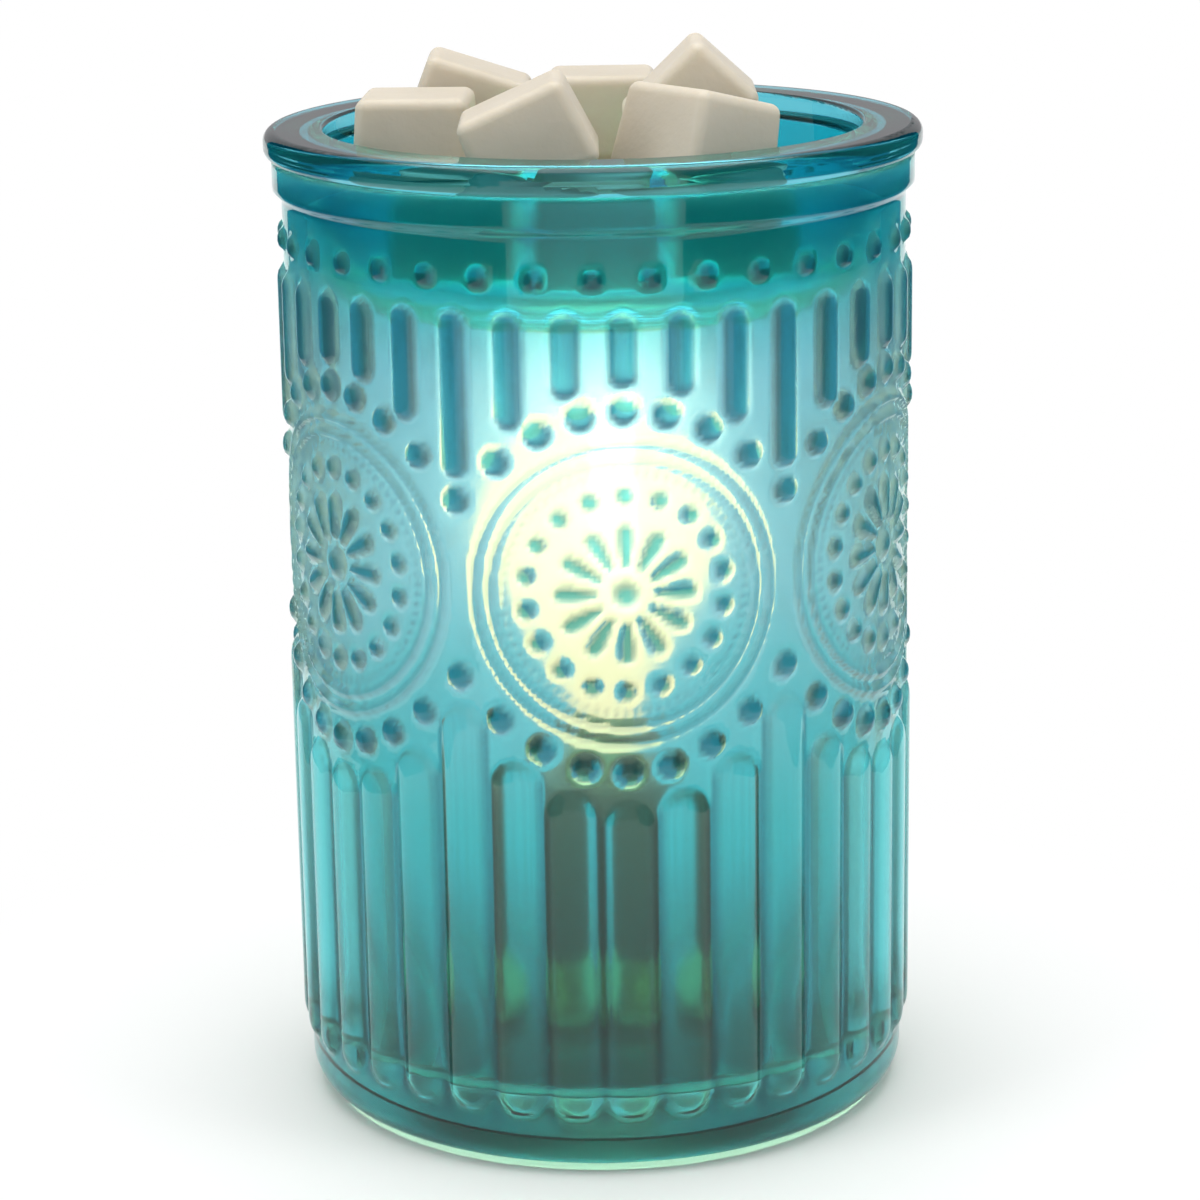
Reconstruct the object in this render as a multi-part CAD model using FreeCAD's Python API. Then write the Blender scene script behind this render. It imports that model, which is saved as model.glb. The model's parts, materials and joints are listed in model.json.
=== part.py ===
import FreeCAD, Part
from FreeCAD import Vector
import math
import os

# Electric wax warmer: a pressed-glass jar lit from inside by a small lamp, with a glass wax dish on top.
# Millimetres. Origin at the middle of the footprint on the table, +Z up, front towards -Y.
# Angles run round the jar from the front (-Y) towards +X.

# Feet
foot_pad_height = 1.0
foot_pad_radius = 5.0
foot_pad_ring = 33.0
foot_pad_count = 4

# Glass jar
jar_wall = 4.5
jar_height = 176.5
jar_floor = 4.0
recess_depth = 8.0
recess_radius = 40.0
foot_inset = 4.0
foot_rounding = 5.0
lip_height = 7.0
lip_proud = 1.6
lip_rounding = 1.5
pipe_hole_clearance = 0.6

# Pressed relief of the jar
relief_root = 0.6
medallion_count = 6
medallion_angle = 4.5
medallion_height = 107.7
ring_shares = (0.47, 0.4175)
ring_width = 1.3
ring_proud = 0.8
button_radius = 2.6
button_proud = 1.0
bead_radius = 2.9
bead_proud = 1.5
bead_count = 8
bead_reach = 32.5
bead_valley = 15.8
scallop_power = 2.0
collar_dot_radius = 2.4
collar_dot_proud = 1.2
collar_dot_height = 162.5
flutes_per_medallion = 6
flute_share = 0.107
flute_proud = 1.5
flute_bottom = 10.0
flute_gap = 2.6
slot_radius = 3.4
slot_proud = 1.3
slot_top = 157.0
slot_gap = 0.8

# Wax dish
dish_radius = 60.0
dish_rim_thickness = 5.3
dish_rim_rounding = 2.2
dish_overhang = 3.0
dish_rim_width = 11.0
dish_mouth_rounding = 1.0
dish_wall = 2.8
dish_draft = 3.0
dish_depth = 26.8
dish_floor = 4.0
dish_corner = 7.0

# Wax melts
melt_width = 22.0
melt_height = 16.0
melt_draft = 1.0
melt_rounding = 2.0
melt_seat_gap = 0.25

# Lamp holder
pipe_radius = 5.0
pipe_bore = 3.5
pipe_tail = 0.5
thread_clearance = 0.05
seal_thickness = 1.5
seal_radius = 16.0
washer_thickness = 1.0
washer_radius = 13.0
nut_height = 3.0
nut_flats = 15.0
flange_radius = 20.0
flange_thickness = 2.0
pipe_show = 2.0
holder_radius = 13.5
holder_wall = 2.4
holder_height = 34.5
holder_base_thickness = 2.5
holder_lip = 1.8
core_clearance = 0.3
core_stand = 6.0
core_bottom = 5.0
screw_shell_wall = 0.5
contact_width = 4.0
contact_sheet = 0.5
terminal_radius = 1.2
terminal_head_radius = 1.9
terminal_head_height = 1.6
terminal_length = 4.0
terminal_ring = 6.5

# Lamp
cap_radius = 6.8
cap_length = 22.5
cap_sheet = 0.4
cap_clearance = 0.3
cap_taper = 2.4
cap_throat = 3.6
tip_radius = 2.4
tip_height = 1.6
tip_rounding = 0.7
insulator_height = 2.6
bulb_radius = 23.0
bulb_neck_radius = 6.4
bulb_neck_length = 6.0
bulb_neck_flare = 1.2
bulb_shoulder = 38.0
bulb_wall = 0.8
bulb_height = 63.0
stem_radius = 3.2
stem_height = 24.0
lead_radius = 0.4
lead_spread = 8.0
lead_height = 14.0
filament_radius = 0.3

# Underside cover and cord inlet
cover_radius = 42.0
cover_thickness = 1.5
fit_gap = 0.3
notch_width = 9.0
notch_height = 5.5
cord_hole_radius = 3.2
grommet_length = 9.0
grommet_flange = 1.6
grommet_flange_margin = 0.7

# Heights and radii that follow from the sizes above
foot_z = foot_pad_height
jar_radius = dish_radius - dish_overhang
dish_mouth_radius = dish_radius - dish_rim_width
ring_radii = [share * jar_radius for share in ring_shares]
flute_radius = flute_share * jar_radius
foot_radius = jar_radius - foot_inset
recess_z = foot_z + recess_depth
floor_z = recess_z + jar_floor
mouth_z = foot_z + jar_height
jar_bore = jar_radius - jar_wall
rim_z = mouth_z + dish_rim_thickness
dish_floor_z = rim_z - dish_depth
dish_bottom_z = dish_floor_z - dish_floor
medallion_z = foot_z + medallion_height
flange_z = floor_z + seal_thickness
flange_nut_z = flange_z + flange_thickness
collar_nut_z = flange_nut_z + nut_height + pipe_show
holder_z = collar_nut_z + nut_height
holder_inside_z = holder_z + holder_base_thickness
core_z = holder_inside_z + core_stand
holder_top_z = holder_z + holder_height
core_top_z = holder_top_z - holder_lip
socket_floor_z = core_z + core_bottom
contact_top_z = socket_floor_z + 3 * contact_sheet
tip_z = contact_top_z + fit_gap
cap_z = tip_z + tip_height + insulator_height
cap_top_z = cap_z + cap_length
under_seal_z = recess_z - seal_thickness
washer_z = under_seal_z - washer_thickness
clamp_nut_z = washer_z - nut_height
pipe_bottom_z = clamp_nut_z - pipe_tail
pipe_top_z = holder_inside_z + nut_height + pipe_tail
cover_top_z = foot_z + cover_thickness
thread_radius = pipe_radius + thread_clearance
screw_shell_bore = cap_radius + cap_clearance
screw_shell_radius = screw_shell_bore + screw_shell_wall
core_bore = screw_shell_radius + core_clearance
holder_bore = holder_radius - holder_wall
core_radius = holder_bore - core_clearance
flute_step = 360.0 / (medallion_count * flutes_per_medallion)
medallion_step = 360.0 / medallion_count
z_axis = Vector(0, 0, 1)
backwards = Vector(0, 1, 0)


def turned(points):
    """Solid of revolution about Z from a closed outline of (radius, height) points."""
    corners = [Vector(r, 0, z) for r, z in points]
    wire = Part.makePolygon(corners + corners[:1])
    return Part.Face(wire).revolve(Vector(), z_axis, 360)


def tube(outer, inner, bottom, top):
    return turned([(inner, bottom), (outer, bottom), (outer, top), (inner, top)])


def rod(radius, bottom, top, x=0.0, y=0.0):
    return Part.makeCylinder(radius, top - bottom, Vector(x, y, bottom), z_axis)


def rounded(solid, radius, picks):
    """Solid with the circular edges at the given (radius, height) places rounded."""
    edges = []
    for edge in solid.Edges:
        curve = edge.Curve
        if not isinstance(curve, Part.Circle):
            continue
        for r, z in picks:
            if abs(curve.Radius - r) < 1e-3 and abs(curve.Center.z - z) < 1e-3:
                edges.append(edge)
    return solid.makeFillet(radius, edges).Solids[0]


def turn(shape, angle):
    """Copy of a shape turned round the jar's axis."""
    copy = shape.copy()
    copy.rotate(Vector(), z_axis, angle)
    return copy


def on_jar(shape, angle, height):
    """Copy of a feature made at the front of the jar at height 0, put at its place."""
    copy = shape.copy()
    copy.translate(Vector(0, 0, height))
    return turn(copy, angle)


def hex_nut(bottom):
    corner = nut_flats / math.sqrt(3)
    points = [Vector(corner * math.cos(math.radians(60 * k)), corner * math.sin(math.radians(60 * k)), bottom)
              for k in range(7)]
    body = Part.Face(Part.makePolygon(points)).extrude(Vector(0, 0, nut_height))
    return body.cut(rod(thread_radius, bottom, bottom + nut_height))


# Pressed relief

def raised(solid):
    """The part of a feature that stands out of the jar's wall, with a little root in it."""
    core = Part.makeCylinder(jar_radius - relief_root, 2 * jar_height, Vector(0, 0, -jar_height / 2), z_axis)
    return solid.cut(core)


def ball(radius, proud):
    return raised(Part.makeSphere(radius, Vector(0, -(jar_radius + proud - radius), 0)))


def upright_bar(radius, proud, bottom, top):
    """Round-ended upright bar whose footprint on the wall runs from bottom to top."""
    half_width = math.sqrt(2 * radius * proud - proud ** 2)
    low = bottom + half_width
    high = top - half_width
    diagonal = radius * math.sqrt(0.5)
    lower_end = Part.Arc(Vector(0, 0, low - radius), Vector(diagonal, 0, low - diagonal),
                         Vector(radius, 0, low))
    upper_end = Part.Arc(Vector(radius, 0, high), Vector(diagonal, 0, high + diagonal),
                         Vector(0, 0, high + radius))
    outline = Part.Wire([lower_end.toShape(),
                         Part.makeLine(Vector(radius, 0, low), Vector(radius, 0, high)),
                         upper_end.toShape(),
                         Part.makeLine(Vector(0, 0, high + radius), Vector(0, 0, low - radius))])
    bar = Part.Face(outline).revolve(Vector(), z_axis, 360)
    bar.translate(Vector(0, -(jar_radius + proud - radius), 0))
    return raised(bar)


def ring(radius):
    """Raised circle that lies on the wall."""
    reach = jar_radius + 2 * ring_proud
    outer = Part.makeCylinder(radius + ring_width / 2, reach, Vector(), -backwards)
    inner = Part.makeCylinder(radius - ring_width / 2, reach, Vector(), -backwards)
    skin = tube(jar_radius + ring_proud, jar_radius - relief_root, -2 * radius, 2 * radius)
    return outer.cut(inner).common(skin)


def rosette():
    """One medallion: two rings and a button."""
    return [ring(radius) for radius in ring_radii] + [ball(button_radius, button_proud)]


def scallop(around):
    """Height above the medallion's middle of the bead line, at an angle from the medallion."""
    share = abs(around) / (medallion_step / 2)
    return bead_reach - (bead_reach - bead_valley) * share ** scallop_power


def relief():
    """Every raised feature of one medallion's span, to be repeated round the jar."""
    features = [on_jar(f, 0, medallion_z) for f in rosette()]
    bead = ball(bead_radius, bead_proud)
    for k in range(bead_count):
        around = medallion_step * (k / bead_count - 0.5)
        features += [on_jar(bead, around, medallion_z + side * scallop(around)) for side in (1, -1)]
    collar_dot = ball(collar_dot_radius, collar_dot_proud)
    for k in range(flutes_per_medallion):
        around = flute_step * (k - flutes_per_medallion / 2)
        reach = scallop(around) + bead_radius
        flute = upright_bar(flute_radius, flute_proud, foot_z + flute_bottom, medallion_z - reach - flute_gap)
        slot = upright_bar(slot_radius, slot_proud, medallion_z + reach + slot_gap, foot_z + slot_top)
        features += [turn(flute, around), turn(slot, around)]
        features.append(on_jar(collar_dot, around + flute_step / 2, foot_z + collar_dot_height))
    return features


# Glass

def notch(half_width, start, end):
    """Cord channel through the foot at the back: upright sides, round top."""
    top = Part.makeCylinder(half_width, end - start, Vector(0, start, foot_z + notch_height), backwards)
    sides = Part.makeBox(2 * half_width, end - start, notch_height, Vector(-half_width, start, foot_z))
    return top.fuse(sides).removeSplitter()


def glass_jar():
    lip_radius = jar_radius + lip_proud
    outside = turned([(0, foot_z), (foot_radius, foot_z), (jar_radius, foot_z + foot_rounding),
                      (jar_radius, mouth_z - lip_height), (lip_radius, mouth_z - lip_height),
                      (lip_radius, mouth_z), (0, mouth_z)])
    outside = rounded(outside, lip_rounding, [(lip_radius, mouth_z - lip_height)])
    span = relief()
    features = [turn(f, medallion_angle + medallion_step * k) for k in range(medallion_count) for f in span]
    jar = outside.multiFuse(features).Solids[0]
    hollow = rod(jar_bore, floor_z, mouth_z)
    recess = rod(recess_radius, foot_z, recess_z)
    rebate = rod(cover_radius, foot_z, cover_top_z)
    hole = rod(pipe_radius + pipe_hole_clearance, recess_z, floor_z)
    channel = notch(notch_width / 2, recess_radius - notch_width, 2 * jar_radius)
    for void in (hollow, recess, rebate, hole, channel):
        jar = jar.cut(void).Solids[0]
    return jar


def wax_dish():
    top = dish_mouth_radius
    low = top - dish_draft
    dish = turned([(0, dish_floor_z), (low, dish_floor_z), (top, rim_z), (dish_radius, rim_z),
                   (dish_radius, mouth_z), (top + dish_wall, mouth_z), (low + dish_wall, dish_bottom_z),
                   (0, dish_bottom_z)])
    dish = rounded(dish, dish_rim_rounding, [(dish_radius, rim_z), (dish_radius, mouth_z)])
    dish = rounded(dish, dish_corner, [(low, dish_floor_z)])
    dish = rounded(dish, dish_corner, [(low + dish_wall, dish_bottom_z)])
    return rounded(dish, dish_mouth_rounding, [(top, rim_z)])


# Wax

def melt():
    """One wax cube, narrower at the top as it left its mould, with soft edges."""
    half = melt_width / 2
    cube = Part.makeWedge(-half, 0, -half, melt_draft - half, melt_draft - half,
                          half, melt_height, half, half - melt_draft, half - melt_draft)
    cube.rotate(Vector(), Vector(1, 0, 0), 90)
    cube.translate(Vector(0, 0, -melt_height / 2))
    return cube.makeFillet(melt_rounding, cube.Edges).Solids[0]


def laid(cube, x, y, yaw, axis, lean, layer):
    """Cube turned and tilted, standing by its lowest point on its layer of the pile."""
    hinge = Vector(math.cos(math.radians(axis)), math.sin(math.radians(axis)), 0)
    placed = cube.copy()
    placed.rotate(Vector(), z_axis, yaw)
    placed.rotate(Vector(), hinge, lean)
    seat = dish_floor_z + melt_seat_gap + layer * (melt_height + melt_seat_gap)
    rise = seat - placed.optimalBoundingBox(False).ZMin
    placed.translate(Vector(x * dish_mouth_radius, y * dish_mouth_radius, rise))
    return placed


# x and y as shares of the mouth's radius, turn about the vertical,
# direction of the level axis it leans about, lean, layer
pile = [
    (-0.51, -0.265, 3, 0, 0, 0), (-0.51, 0.245, -4, 0, 0, 0), (0, -0.51, 2, 0, 0, 0), (0, 0, -3, 0, 0, 0),
    (0, 0.51, 4, 0, 0, 0), (0.51, -0.265, -3, 0, 0, 0), (0.51, 0.245, 5, 0, 0, 0),
    (-0.653, -0.04, -3, 0, 0, 1), (-0.469, 0.439, 0, 90, 18, 1), (0.04, 0.571, 0, 0, 0, 1),
    (0.378, -0.48, 42, 130, 14, 1), (-0.235, -0.561, 0, 90, -24, 1), (0.357, 0.092, 0, 90, -44, 1),
]


# Lamp holder

def holder_shell():
    sleeve = tube(holder_radius, holder_bore, holder_inside_z, core_top_z)
    lip = tube(holder_radius, core_bore, core_top_z, holder_top_z)
    return sleeve.fuse(lip).removeSplitter()


def holder_base():
    collar = holder_bore - fit_gap
    inside = collar - holder_wall / 2
    return turned([(thread_radius, holder_z), (holder_radius, holder_z), (holder_radius, holder_inside_z),
                   (collar, holder_inside_z), (collar, core_z), (inside, core_z), (inside, holder_inside_z),
                   (thread_radius, holder_inside_z)])


def holder_core():
    core = turned([(0, core_z), (core_radius, core_z), (core_radius, core_top_z), (core_bore, core_top_z),
                   (core_bore, socket_floor_z), (0, socket_floor_z)])
    for side in (1, -1):
        hole = rod(terminal_radius + thread_clearance, core_z, core_z + terminal_length,
                   x=side * terminal_ring)
        core = core.cut(hole)
    return core


def screw_shell():
    inside = screw_shell_bore - 2 * screw_shell_wall
    return turned([(inside, socket_floor_z), (screw_shell_radius, socket_floor_z),
                   (screw_shell_radius, core_top_z), (screw_shell_bore, core_top_z),
                   (screw_shell_bore, socket_floor_z + screw_shell_wall),
                   (inside, socket_floor_z + screw_shell_wall)])


def centre_contact():
    """Bent leaf that presses on the lamp's tip."""
    base_z = socket_floor_z
    under_z = contact_top_z - contact_sheet
    points = [(-2 * tip_radius, base_z), (-tip_radius, base_z), (0, under_z), (tip_radius, under_z),
              (tip_radius, contact_top_z), (-contact_sheet, contact_top_z),
              (-tip_radius - contact_sheet, base_z + contact_sheet),
              (-2 * tip_radius, base_z + contact_sheet)]
    corners = [Vector(x, -contact_width / 2, z) for x, z in points]
    return Part.Face(Part.makePolygon(corners + corners[:1])).extrude(Vector(0, contact_width, 0))


def terminal_screws():
    screws = []
    for side in (1, -1):
        head = rod(terminal_head_radius, core_z - terminal_head_height, core_z, x=side * terminal_ring)
        shank = rod(terminal_radius, core_z, core_z + terminal_length, x=side * terminal_ring)
        screws.append(head.fuse(shank))
    return Part.makeCompound(screws)


# Lamp

def bulb_form(inset):
    """Solid bulb from its neck to its crown, drawn in by a wall thickness."""
    globe = bulb_radius - inset
    neck = bulb_neck_radius - inset
    centre_z = cap_top_z + bulb_height - bulb_radius
    shoulder = math.radians(bulb_shoulder)
    start = Vector(globe * math.cos(shoulder), 0, centre_z - globe * math.sin(shoulder))
    crown = Vector(0, 0, centre_z + globe)
    low = Vector(neck, 0, cap_top_z)
    flank = Part.BSplineCurve()
    flank.interpolate([low, Vector(neck + bulb_neck_flare, 0, cap_top_z + bulb_neck_length), start],
                      InitialTangent=z_axis,
                      FinalTangent=Vector(math.sin(shoulder), 0, math.cos(shoulder)))
    dome = Part.Arc(start, Vector(globe, 0, centre_z), crown)
    foot = Vector(0, 0, cap_top_z)
    edges = [flank.toShape(), dome.toShape(), Part.makeLine(crown, foot), Part.makeLine(foot, low)]
    return Part.Face(Part.Wire(edges)).revolve(Vector(), z_axis, 360)


def bulb_glass():
    return bulb_form(0).cut(bulb_form(bulb_wall))


def bulb_cap():
    heel = cap_radius - cap_taper
    inside = cap_radius - cap_sheet
    return turned([(cap_throat, cap_z), (heel, cap_z), (cap_radius, cap_z + cap_taper),
                   (cap_radius, cap_top_z), (inside, cap_top_z),
                   (inside, cap_z + cap_taper + cap_sheet), (heel, cap_z + cap_sheet),
                   (cap_throat, cap_z + cap_sheet)])


def bulb_insulator():
    bottom = tip_z + tip_height
    return turned([(tip_radius + fit_gap, bottom), (cap_throat, bottom), (cap_radius - cap_taper, cap_z),
                   (tip_radius + fit_gap, cap_z)])


def bulb_contact():
    """Rounded metal tip on its rivet."""
    return rounded(rod(tip_radius, tip_z, cap_z), tip_rounding, [(tip_radius, tip_z)])


def bulb_stem():
    base = bulb_neck_radius - bulb_wall - fit_gap
    return turned([(0, cap_top_z), (base, cap_top_z), (stem_radius, cap_top_z + bulb_neck_length),
                   (stem_radius, cap_top_z + stem_height), (0, cap_top_z + stem_height)])


def lead_ends():
    top = cap_top_z + stem_height
    return [Vector(side * lead_spread, 0, top + lead_height) for side in (1, -1)]


def bulb_leads():
    leads = []
    for end in lead_ends():
        foot_x = math.copysign(stem_radius - 2 * lead_radius, end.x)
        foot = Vector(foot_x, 0, cap_top_z + stem_height + lead_radius)
        path = end - foot
        leads.append(Part.makeCylinder(lead_radius, path.Length, foot, path))
    return Part.makeCompound(leads)


def bulb_filament():
    """Coiled wire drawn as one fine rod between the leads' ends."""
    right, left = lead_ends()
    span = right - left
    return Part.makeCylinder(filament_radius, span.Length, left + Vector(0, 0, 2 * lead_radius), span)


# Underside

def rubber_feet():
    pads = []
    for k in range(foot_pad_count):
        a = 2 * math.pi * (k + 0.5) / foot_pad_count
        pads.append(rod(foot_pad_radius, 0, foot_z, foot_pad_ring * math.cos(a), foot_pad_ring * math.sin(a)))
    return Part.makeCompound(pads)


def cord_grommet():
    """Lining of the cord channel with a round flange outside."""
    inner_end = jar_radius - grommet_length
    outer_end = jar_radius + grommet_flange
    body = notch(notch_width / 2 - fit_gap, inner_end, jar_radius)
    flange = notch(notch_width / 2 + grommet_flange_margin, jar_radius, outer_end)
    start = Vector(0, inner_end, foot_z + notch_height)
    hole = Part.makeCylinder(cord_hole_radius, outer_end - inner_end, start, backwards)
    return body.fuse(flange).cut(hole)


parts = {
    "glass_jar": glass_jar(),
    "wax_dish": wax_dish(),
    "rubber_feet": rubber_feet(),
    "base_cover": rod(cover_radius - fit_gap, foot_z, cover_top_z),
    "cord_grommet": cord_grommet(),
    "lamp_pipe": tube(pipe_radius, pipe_bore, pipe_bottom_z, pipe_top_z),
    "clamp_nut": hex_nut(clamp_nut_z),
    "clamp_washer": tube(washer_radius, thread_radius, washer_z, under_seal_z),
    "under_seal": tube(seal_radius, thread_radius, under_seal_z, recess_z),
    "floor_seal": tube(seal_radius, thread_radius, floor_z, flange_z),
    "base_flange": tube(flange_radius, thread_radius, flange_z, flange_nut_z),
    "flange_nut": hex_nut(flange_nut_z),
    "collar_nut": hex_nut(collar_nut_z),
    "holder_base": holder_base(),
    "holder_locknut": hex_nut(holder_inside_z),
    "holder_shell": holder_shell(),
    "holder_core": holder_core(),
    "terminal_screws": terminal_screws(),
    "screw_shell": screw_shell(),
    "centre_contact": centre_contact(),
    "bulb_contact": bulb_contact(),
    "bulb_insulator": bulb_insulator(),
    "bulb_cap": bulb_cap(),
    "bulb_glass": bulb_glass(),
    "bulb_stem": bulb_stem(),
    "bulb_leads": bulb_leads(),
    "bulb_filament": bulb_filament(),
}
for number, place in enumerate(pile, 1):
    parts[f"wax_melt_{number:02d}"] = laid(melt(), *place)

os.makedirs("parts", exist_ok=True)
for name, shape in parts.items():
    shape.exportStep(f"parts/{name}.step")
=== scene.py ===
import json
import math
import bpy
import numpy as np
from mathutils import Matrix, Vector


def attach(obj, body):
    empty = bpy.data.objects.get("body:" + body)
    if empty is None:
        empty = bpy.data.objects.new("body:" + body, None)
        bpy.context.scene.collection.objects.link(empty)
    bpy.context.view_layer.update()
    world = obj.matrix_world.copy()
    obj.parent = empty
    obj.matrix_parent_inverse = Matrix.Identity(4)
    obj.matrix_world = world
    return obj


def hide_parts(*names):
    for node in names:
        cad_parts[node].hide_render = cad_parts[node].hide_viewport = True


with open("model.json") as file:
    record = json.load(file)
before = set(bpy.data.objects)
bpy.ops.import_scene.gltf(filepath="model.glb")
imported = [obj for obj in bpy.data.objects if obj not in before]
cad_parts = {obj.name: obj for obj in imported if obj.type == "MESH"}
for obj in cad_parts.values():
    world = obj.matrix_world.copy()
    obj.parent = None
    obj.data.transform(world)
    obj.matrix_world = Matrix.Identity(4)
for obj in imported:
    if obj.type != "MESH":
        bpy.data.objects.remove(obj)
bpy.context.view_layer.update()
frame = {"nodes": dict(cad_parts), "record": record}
scene = bpy.context.scene
mm = 0.001
smooth = {"interpolation_type": "SMOOTHSTEP"}
# shares of a plain material's roughness that its grain runs between, and the grain's depth in metres
grainSpread = (0.85, 1.15)
grainDepth = 0.0004
# how much the cloud in tinted glass dims it, and the waviness of its surface
glassDim = 0.92
glassWave = {"strength": 0.08, "distance": 0.0006}


# one socket of a node tree, so that shader maths reads as maths
class Sock:
    def __init__(self, tree, out):
        self.tree = tree
        self.out = out

    def node(self, kind, settings=None, **inputs):
        made = self.tree.nodes.new(kind)
        for key, value in (settings or {}).items():
            setattr(made, key, value)
        for key, value in inputs.items():
            plug(self.tree, made.inputs[socketName(made, key)], value)
        return made

    def math(self, operation, first, second):
        made = self.node("ShaderNodeMath", {"operation": operation})
        for socket, value in zip(made.inputs, (first, second)):
            plug(self.tree, socket, value)
        return out(made)

    def __add__(self, other):
        return self.math("ADD", self, other)

    def __radd__(self, other):
        return self.math("ADD", other, self)

    def __sub__(self, other):
        return self.math("SUBTRACT", self, other)

    def __rsub__(self, other):
        return self.math("SUBTRACT", other, self)

    def __mul__(self, other):
        return self.math("MULTIPLY", self, other)

    def __rmul__(self, other):
        return self.math("MULTIPLY", other, self)

    def most(self, other):
        return self.math("MAXIMUM", self, other)


def socketName(node, key):
    wanted = key.replace("_", " ").lower()
    for socket in node.inputs:
        if socket.name.lower() == wanted:
            return socket.name
    raise KeyError(f"{node.bl_idname} has no input {wanted}")


def plug(tree, socket, value):
    if isinstance(value, Sock):
        tree.links.new(value.out, socket)
    elif isinstance(value, (tuple, list)) and len(value) == 3 and socket.type == "RGBA":
        socket.default_value = (*value, 1)
    else:
        socket.default_value = value


def newMaterial(name):
    material = bpy.data.materials.new(name)
    material.use_nodes = True
    material.node_tree.nodes.clear()
    return material, Sock(material.node_tree, None)


def out(made, which=0):
    return Sock(made.id_data, made.outputs[which])


def objectPlace(s):
    return out(s.node("ShaderNodeTexCoord"), "Object")


def noise(s, scale, detail=3.0):
    return out(s.node("ShaderNodeTexNoise", None, vector=objectPlace(s), scale=scale, detail=detail))


# places of the colour sockets on the mix node, whose names repeat
colourMix = {"factor": 0, "low": 6, "high": 7, "result": 2}


def ramp(s, value, low, high):
    mixed = s.node("ShaderNodeMix", {"data_type": "RGBA"})
    for key, given in (("factor", value), ("low", low), ("high", high)):
        plug(s.tree, mixed.inputs[colourMix[key]], given)
    return out(mixed, colourMix["result"])


def spread(s, value, low, high):
    return out(s.node("ShaderNodeMapRange", None, value=value, to_min=low, to_max=high))


def fade(s, value, start, end):
    return out(s.node("ShaderNodeMapRange", smooth, value=value, from_min=start, from_max=end))


def bump(s, height, strength, distance):
    return out(s.node("ShaderNodeBump", None, height=height, strength=strength, distance=distance))


def surface(s, shader):
    s.node("ShaderNodeOutputMaterial", None, surface=shader)


def mixShader(s, factor, first, second):
    made = s.node("ShaderNodeMixShader")
    for socket, value in zip(made.inputs, (factor, first, second)):
        plug(s.tree, socket, value)
    return out(made)


def plain(name, low, high, roughness, metallic=0.0, scale=300.0, grain=0.05):
    material, s = newMaterial(name)
    cloud = noise(s, scale)
    smoothest, roughest = (roughness * share for share in grainSpread)
    shader = s.node("ShaderNodeBsdfPrincipled", None, base_color=ramp(s, cloud, low, high),
                    roughness=spread(s, cloud, smoothest, roughest), metallic=metallic,
                    normal=bump(s, cloud, grain, grainDepth))
    surface(s, out(shader))
    return material


# glass tinted at each surface; lamp light passes it by a plain tint, so the inside stays lit
def tintedGlass(name, pale, milk, milkShare, shade, roughness=0.02, ends=(), reliefShadeColour=None):
    material, s = newMaterial(name)
    cloud = noise(s, 60.0)
    tint = ramp(s, cloud, pale, tuple(glassDim * c for c in pale))
    # colours that fade in by height; the jar's include painted shade at its foot
    for colour, start, end in ends:
        height = out(s.node("ShaderNodeSeparateXYZ", None, vector=objectPlace(s)), "Z")
        tint = ramp(s, fade(s, height, start, end), tint, colour)
    # painted shade: the glass is darkened on the relief marks and in the flute grooves
    if reliefShadeColour:
        ink = out(s.node("ShaderNodeAttribute", {"attribute_name": "ink"}), "Fac")
        tint = ramp(s, ink, tint, reliefShadeColour)
    glass = out(s.node("ShaderNodeBsdfPrincipled", None, base_color=tint, roughness=roughness, ior=1.45,
                       transmission_weight=1.0, normal=bump(s, cloud, **glassWave)))
    haze = out(s.node("ShaderNodeBsdfTranslucent", None, color=milk))
    body = mixShader(s, milkShare, glass, haze)
    path = s.node("ShaderNodeLightPath")
    passing = out(path, "Is Shadow Ray").most(out(path, "Is Diffuse Ray"))
    clear = out(s.node("ShaderNodeBsdfTransparent", None, color=shade))
    surface(s, mixShader(s, passing, body, clear))
    return material


def clearGlass():
    material, s = newMaterial("clearGlass")
    tint = ramp(s, noise(s, 80.0), (0.92, 0.94, 0.94), (0.98, 0.98, 0.98))
    shader = s.node("ShaderNodeBsdfPrincipled", None, base_color=tint, roughness=0.03, ior=1.5,
                    transmission_weight=1.0)
    surface(s, out(shader))
    return material


def glow(name, low, high, strength):
    material, s = newMaterial(name)
    shader = out(s.node("ShaderNodeBsdfPrincipled", None, base_color=low, roughness=0.4,
                        emission_color=ramp(s, noise(s, 25.0), low, high), emission_strength=strength))
    path = s.node("ShaderNodeLightPath")
    clear = out(s.node("ShaderNodeBsdfTransparent"))
    surface(s, mixShader(s, out(path, "Is Shadow Ray"), shader, clear))
    return material


def waxMaterial():
    material, s = newMaterial("wax")
    cloud = noise(s, 45.0, detail=5.0)
    speck = noise(s, 700.0, detail=2.0)
    colour = ramp(s, cloud, (0.50, 0.45, 0.35), (0.68, 0.63, 0.52))
    shader = s.node("ShaderNodeBsdfPrincipled", None, base_color=colour,
                    roughness=spread(s, speck, 0.42, 0.58), ior=1.44, subsurface_weight=0.35,
                    subsurface_radius=(0.006, 0.005, 0.0035), subsurface_scale=1.0,
                    normal=bump(s, cloud * 0.6 + speck * 0.2, 0.35, 0.0012))
    surface(s, out(shader))
    return material


print("materials")
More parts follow.
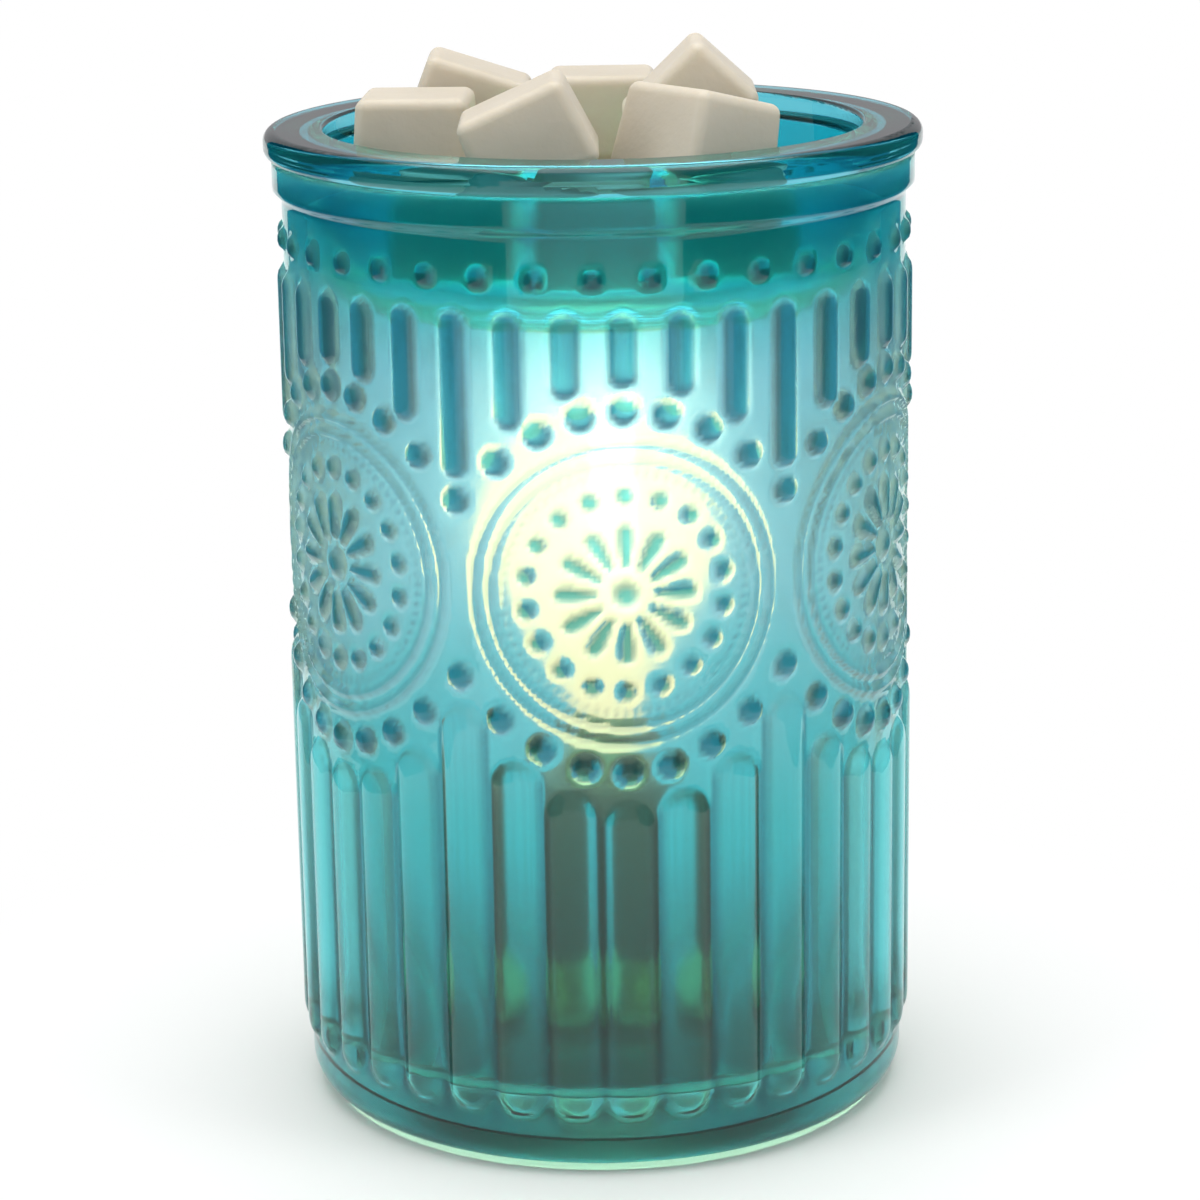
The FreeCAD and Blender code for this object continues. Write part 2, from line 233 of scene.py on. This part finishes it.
# colour, then the heights in metres between which it fades in; the dark second band at the foot is painted
# shade
jarEnds = [((0.11, 0.70, 0.75), 0.090, 0.062), ((0.01, 0.34, 0.38), 0.032, 0.004),
           ((0.10, 0.74, 0.80), 0.142, 0.166)]
# the darkest teal is painted shade on the relief marks and flute grooves
tealGlass = tintedGlass("tealGlass", pale=(0.34, 0.72, 0.86), milk=(0.30, 0.66, 0.72), milkShare=0.01,
                        shade=(0.08, 0.13, 0.14), ends=jarEnds, reliefShadeColour=(0.004, 0.10, 0.18))
tealInner = tintedGlass("tealInner", pale=(0.44, 0.75, 0.85), milk=(0.68, 0.74, 0.66), milkShare=0.02,
                        shade=(0.5, 0.75, 0.75), roughness=0.25, ends=jarEnds)
looks = {
    "teal_glass": tealGlass,
    "dish_glass": tintedGlass("dishGlass", pale=(0.14, 0.62, 0.76), milk=(0.10, 0.60, 0.60), milkShare=0.06,
                              shade=(0.35, 0.65, 0.66)),
    "brass": plain("brass", (0.62, 0.42, 0.14), (0.80, 0.60, 0.26), 0.28, metallic=1.0),
    "steel": plain("steel", (0.52, 0.52, 0.51), (0.66, 0.66, 0.65), 0.35, metallic=1.0),
    "dark_phenolic": plain("phenolic", (0.020, 0.016, 0.014), (0.040, 0.032, 0.028), 0.42, grain=0.15),
    "porcelain": plain("porcelain", (0.80, 0.79, 0.74), (0.88, 0.87, 0.83), 0.35),
    "black_rubber": plain("rubber", (0.016, 0.016, 0.016), (0.035, 0.035, 0.035), 0.75, scale=700.0,
                          grain=0.2),
    "cover_plastic": plain("coverPlastic", (0.03, 0.03, 0.03), (0.06, 0.06, 0.06), 0.55, scale=900.0,
                           grain=0.25),
    "black_glass": plain("blackGlass", (0.008, 0.008, 0.010), (0.02, 0.02, 0.022), 0.12),
    "clear_glass": clearGlass(),
    "wax": waxMaterial(),
    "bulb_glass": glow("bulbGlow", (1.0, 0.44, 0.19), (1.0, 0.56, 0.29), 2.3),
    "filament_wire": glow("filamentGlow", (1.0, 0.62, 0.25), (1.0, 0.75, 0.4), 12.0),
}
for entry in frame["record"]["subparts"]:
    piece = frame["nodes"][entry["node"]]
    piece.data.materials.clear()
    piece.data.materials.append(looks[entry["material_slot"]])

print("jar")
# millimetres and degrees
jar = {
    "radius": 57.0, "bore": 52.5, "foot": 1.0, "mouth": 177.5, "floor": 13.0, "recess": 9.0,
    "recessRadius": 40.0, "rebateRadius": 42.0, "rebateTop": 2.5, "hole": 5.6,
    "footRadius": 53.0, "footRise": 5.0, "lipBottom": 170.5, "lipProud": 1.6, "lipRise": 1.6,
    "mouthEase": 0.8, "boreTopGap": 6, "boreLowGap": 4, "boreRows": 14, "cornerEase": 1.2, "cornerRun": 4,
    "floorRing": 30, "recessRing": 25, "columns": 432, "rows": 198,
}
relief = {
    "phase": 4.5, "span": 60, "middle": 108.7, "pitch": 10,
    "fluteBottom": 11.0, "fluteGap": 2.6, "fluteHalf": 4.1, "fluteProud": 1.5,
    "slotTop": 158.0, "slotGap": 0.8, "slotHalf": 2.7, "slotProud": 1.3,
    "dotHeight": 163.5, "dotHalf": 2.1, "dotProud": 1.2,
    "beadPitch": 7.5, "beadHalf": 2.6, "beadProud": 1.5, "beadRoom": 2.9,
    "scallopTop": 32.5, "scallopDrop": 16.7,
    "ringRadii": (26.8, 23.8), "ringHalf": 0.85, "ringProud": 0.8,
    "teethRadius": 21.6, "teethReach": 1.3, "teethCount": 72, "teethProud": 0.5,
    "studPitch": 20, "studRadius": 17.6, "studHalf": 1.9, "studProud": 1.1,
    "petalPitch": 30, "petalStart": 5.4, "petalEnd": 11.2, "petalProud": 1.0,
    "petalAlong": (4.4, 9.5, 12.6), "petalHalf": (0.7, 1.8, 1.6),
    "buttonHalf": 2.7, "buttonProud": 1.0,
}
# painted shade of the relief: how dark its marks are painted, and where the shaded grooves between the
# flutes lie
reliefShading = {
    "markDepth": 0.9, "groove": 0.8, "teeth": 0.6, "rings": 0.5,
    "grooveBottom": 9, "grooveTopGap": 4, "grooveFade": 3, "grooveStart": 3.1, "grooveWidth": 1.2,
}


def pillow(distance, half, proud):
    return proud * np.sqrt(np.clip(1 - (distance / half) ** 2, 0, 1))


def nearest(angle, pitch):
    return np.round(angle / pitch) * pitch


def arcLength(angle):
    return np.radians(angle) * jar["radius"]


def beyond(value, low, high):
    return np.maximum(np.maximum(low - value, value - high), 0)


def scallop(around):
    return relief["scallopTop"] - relief["scallopDrop"] * (np.abs(around) / (relief["span"] / 2)) ** 2


def bar(across, z, bottom, top, half, proud):
    return pillow(np.hypot(across, beyond(z, bottom + half, top - half)), half, proud)


# rings, teeth and the marks of one daisy, from the distance and direction from its middle; the marks are
# later painted dark as shade
def medallion(r, theta):
    rings = np.maximum.reduce([pillow(r - radius, relief["ringHalf"], relief["ringProud"])
                               for radius in relief["ringRadii"]])
    wave = 0.5 + 0.5 * np.cos(np.radians(relief["teethCount"] * theta))
    teeth = np.clip(1 - np.abs(r - relief["teethRadius"]) / relief["teethReach"], 0, 1) * wave
    step = np.radians(theta - nearest(theta, relief["studPitch"]))
    fromStud = np.hypot(r * np.cos(step) - relief["studRadius"], r * np.sin(step))
    studs = pillow(fromStud, relief["studHalf"], relief["studProud"])
    step = np.radians(theta - nearest(theta, relief["petalPitch"]))
    along = r * np.cos(step)
    half = np.interp(along, relief["petalAlong"], relief["petalHalf"])
    past = beyond(along, relief["petalStart"], relief["petalEnd"])
    petals = pillow(np.hypot(r * np.sin(step), past), half, relief["petalProud"])
    button = pillow(r, relief["buttonHalf"], relief["buttonProud"])
    return rings, teeth, [studs, petals, button]


def jarRelief(angle, z):
    halfSpan = relief["span"] / 2
    around = (angle - relief["phase"] + halfSpan) % relief["span"] - halfSpan
    rise = z - relief["middle"]
    # flutes below and slots above the bead lines
    flute = nearest(around, relief["pitch"])
    across = arcLength(around - flute)
    reach = scallop(flute) + relief["beadRoom"]
    fluteTop = relief["middle"] - reach - relief["fluteGap"]
    slotBottom = relief["middle"] + reach + relief["slotGap"]
    flutes = bar(across, z, relief["fluteBottom"], fluteTop, relief["fluteHalf"], relief["fluteProud"])
    marks = [bar(across, z, slotBottom, relief["slotTop"], relief["slotHalf"], relief["slotProud"])]
    # collar dots between the slots
    dot = (np.floor(around / relief["pitch"]) + 0.5) * relief["pitch"]
    fromDot = np.hypot(arcLength(around - dot), z - relief["dotHeight"])
    marks.append(pillow(fromDot, relief["dotHalf"], relief["dotProud"]))
    # bead scallops above and below
    bead = nearest(around, relief["beadPitch"])
    for side in (1, -1):
        fromBead = np.hypot(arcLength(around - bead), rise - side * scallop(bead))
        marks.append(pillow(fromBead, relief["beadHalf"], relief["beadProud"]))
    arc = arcLength(around)
    rings, teeth, daisy = medallion(np.hypot(arc, rise), np.degrees(np.arctan2(arc, rise)))
    marked = np.maximum.reduce(marks + daisy)
    height = np.maximum.reduce([flutes, marked, rings, relief["teethProud"] * teeth])
    # painted shade in the grooves between the flutes, on the marks, teeth and rings
    low = np.clip((z - reliefShading["grooveBottom"]) / reliefShading["grooveFade"], 0, 1)
    grooveTop = relief["middle"] - reach - reliefShading["grooveTopGap"]
    low = low * np.clip((grooveTop - z) / reliefShading["grooveFade"], 0, 1)
    groove = low * np.clip((np.abs(across) - reliefShading["grooveStart"]) / reliefShading["grooveWidth"], 0, 1)
    ink = np.maximum.reduce([np.clip(marked / reliefShading["markDepth"], 0, 1), reliefShading["groove"] * groove,
                             reliefShading["teeth"] * teeth, reliefShading["rings"] * rings / relief["ringProud"]])
    return height, ink


def jarProfile():
    z = np.linspace(jar["foot"], jar["mouth"], jar["rows"])
    lift = np.clip((z - jar["foot"]) / jar["footRise"], 0, 1)
    radius = jar["footRadius"] + (jar["radius"] - jar["footRadius"]) * np.sqrt(1 - (1 - lift) ** 2)
    lip = np.clip((z - jar["lipBottom"]) / jar["lipRise"], 0, 1)
    return z, radius + jar["lipProud"] * lip * lip * (3 - 2 * lip)


# radius and height of each row from the mouth's inner edge down the bore and round the underside
def jarInside():
    bore, floor, mouth, recess = jar["bore"], jar["floor"], jar["mouth"], jar["recess"]
    wall = np.linspace(mouth - jar["boreTopGap"], floor + jar["boreLowGap"], jar["boreRows"])
    return [
        (bore + jar["mouthEase"], mouth), (bore, mouth - jar["mouthEase"]), *[(bore, h) for h in wall],
        (bore - jar["cornerEase"], floor + jar["cornerEase"]), (bore - jar["cornerRun"], floor),
        (jar["floorRing"], floor), (jar["hole"], floor), (jar["hole"], recess), (jar["recessRing"], recess),
        (jar["recessRadius"], recess), (jar["recessRadius"], jar["rebateTop"]),
        (jar["rebateRadius"], jar["rebateTop"]), (jar["rebateRadius"], jar["foot"]),
    ]


def jarMesh():
    columns = jar["columns"]
    z, radius = jarProfile()
    angle = np.arange(columns) * 360 / columns
    angles, heights = np.meshgrid(angle, z)
    proud, ink = jarRelief(angles, heights)
    inner = jarInside()
    rowsR = np.vstack([radius[:, None] + proud] + [np.full((1, columns), r) for r, _ in inner])
    rowsZ = np.vstack([heights] + [np.full((1, columns), h) for _, h in inner])
    turn = np.radians(angle)[None, :]
    points = np.stack([rowsR * np.sin(turn), -rowsR * np.cos(turn), rowsZ], -1).reshape(-1, 3) * mm
    rows = rowsR.shape[0]
    below = np.arange(rows * columns).reshape(rows, columns)
    above = np.roll(below, -1, 0)
    faces = np.stack([below, np.roll(below, -1, 1), np.roll(above, -1, 1), above], -1).reshape(-1, 4)
    mesh = bpy.data.meshes.new("jarGlass")
    mesh.from_pydata(points.tolist(), [], faces.tolist())
    mesh.shade_smooth()
    mesh.materials.append(tealGlass)
    mesh.materials.append(tealInner)
    inside = np.repeat(np.arange(rows) >= jar["rows"], columns).astype(np.int32)
    mesh.polygons.foreach_set("material_index", inside)
    # the relief's painted shade, on the outer rows only
    shade = np.zeros(rows * columns, np.float32)
    shade[:ink.size] = ink.reshape(-1)
    mesh.attributes.new("ink", "FLOAT", "POINT").data.foreach_set("value", shade)
    return mesh


jarGlass = bpy.data.objects.new("jarGlass", jarMesh())
scene.collection.objects.link(jarGlass)
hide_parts("glass_jar")
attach(jarGlass, "jar")

print("studio")
scene.view_settings.view_transform = "Standard"


# white where the camera and the glass look out, softer as a light
def studioWorld():
    world = bpy.data.worlds.new("studio")
    world.use_nodes = True
    world.node_tree.nodes.clear()
    s = Sock(world.node_tree, None)
    path = s.node("ShaderNodeLightPath")
    seen = out(path, "Is Camera Ray").most(out(path, "Is Transmission Ray"))
    white = out(s.node("ShaderNodeBackground", None, color=(1.0, 1.0, 1.0), strength=1.0))
    fill = out(s.node("ShaderNodeBackground", None, color=(1.0, 0.95, 0.98), strength=0.5))
    s.node("ShaderNodeOutputWorld", None, surface=mixShader(s, seen, fill, white))
    return world


scene.world = studioWorld()


def quad(name, corners, material):
    mesh = bpy.data.meshes.new(name)
    mesh.from_pydata(corners, [], [(0, 1, 2, 3)])
    mesh.materials.append(material)
    made = bpy.data.objects.new(name, mesh)
    scene.collection.objects.link(made)
    return made


# metres; the paper fades to plain white away from the part
paper = {"half": 6.0, "drop": 0.0002, "fadeStart": 0.06, "fadeEnd": 0.16}


def paperMaterial():
    material, s = newMaterial("paper")
    tint = ramp(s, noise(s, 4.0), (0.93, 0.93, 0.93), (0.95, 0.95, 0.95))
    near = out(s.node("ShaderNodeBsdfPrincipled", None, roughness=0.6, base_color=tint))
    white = out(s.node("ShaderNodeEmission", None, color=(1.0, 1.0, 1.0), strength=1.0))
    place = out(s.node("ShaderNodeNewGeometry"), "Position")
    away = out(s.node("ShaderNodeVectorMath", {"operation": "LENGTH"}, vector=place), "Value")
    surface(s, mixShader(s, fade(s, away, paper["fadeStart"], paper["fadeEnd"]), near, white))
    return material


half = paper["half"]
floorCorners = [(-half, -half, 0), (half, -half, 0), (half, half, 0), (-half, half, 0)]
floor = quad("floor", floorCorners, paperMaterial())
floor.location.z = -paper["drop"]

# dark flags beside the jar, out of view, give the glass its dark edges
flags = {"aside": 0.26, "front": -0.45, "back": 0.40, "height": 0.5}


def flagMaterial():
    material, s = newMaterial("flag")
    surface(s, out(s.node("ShaderNodeEmission", None, color=(0.0, 0.22, 0.40), strength=0.6)))
    return material


flagCloth = flagMaterial()
front, back, top = flags["front"], flags["back"], flags["height"]
for side in (-1, 1):
    x = side * flags["aside"]
    flag = quad(f"flag{side}", [(x, front, 0.0), (x, back, 0.0), (x, back, top), (x, front, top)], flagCloth)
    flag.visible_camera = False
    flag.visible_diffuse = False
    flag.visible_shadow = False


def lamp(name, place, target, size, watts):
    data = bpy.data.lights.new(name, "AREA")
    data.shape = "RECTANGLE"
    data.size, data.size_y = size
    data.energy = watts
    made = bpy.data.objects.new(name, data)
    made.location = place
    made.rotation_euler = (Vector(target) - Vector(place)).to_track_quat("-Z", "Y").to_euler()
    scene.collection.objects.link(made)


bulb = {"watts": 1.4, "colour": (1.0, 0.80, 0.52), "radius": 0.015, "place": (0, 0, 0.112)}
bulbLight = bpy.data.lights.new("bulbLight", "POINT")
bulbLight.energy = bulb["watts"]
bulbLight.color = bulb["colour"]
bulbLight.shadow_soft_size = bulb["radius"]
bulbLamp = bpy.data.objects.new("bulbLight", bulbLight)
bulbLamp.location = bulb["place"]
scene.collection.objects.link(bulbLamp)
lamp("top", place=(0.0, 0.1, 1.1), target=(0, 0, 0.15), size=(1.0, 1.0), watts=9.0)
lamp("left", place=(-0.9, -0.5, 0.6), target=(0, 0, 0.12), size=(0.5, 0.9), watts=4.0)
lamp("right", place=(0.9, -0.4, 0.6), target=(0, 0, 0.12), size=(0.4, 0.9), watts=3.0)

print("camera")
shot = {"lens": 105.76, "sensor": 36.0, "near": 0.01, "place": (0, -0.6423, 0.26827),
        "pitch": 0.2676, "roll": -0.0156}
camera = bpy.data.objects.new("camera", bpy.data.cameras.new("camera"))
camera.data.lens = shot["lens"]
camera.data.sensor_width = shot["sensor"]
camera.data.clip_start = shot["near"]
camera.matrix_world = (Matrix.Translation(shot["place"])
                       @ Matrix.Rotation(math.pi / 2 - shot["pitch"], 4, "X")
                       @ Matrix.Rotation(shot["roll"], 4, "Z"))
scene.collection.objects.link(camera)
scene.camera = camera
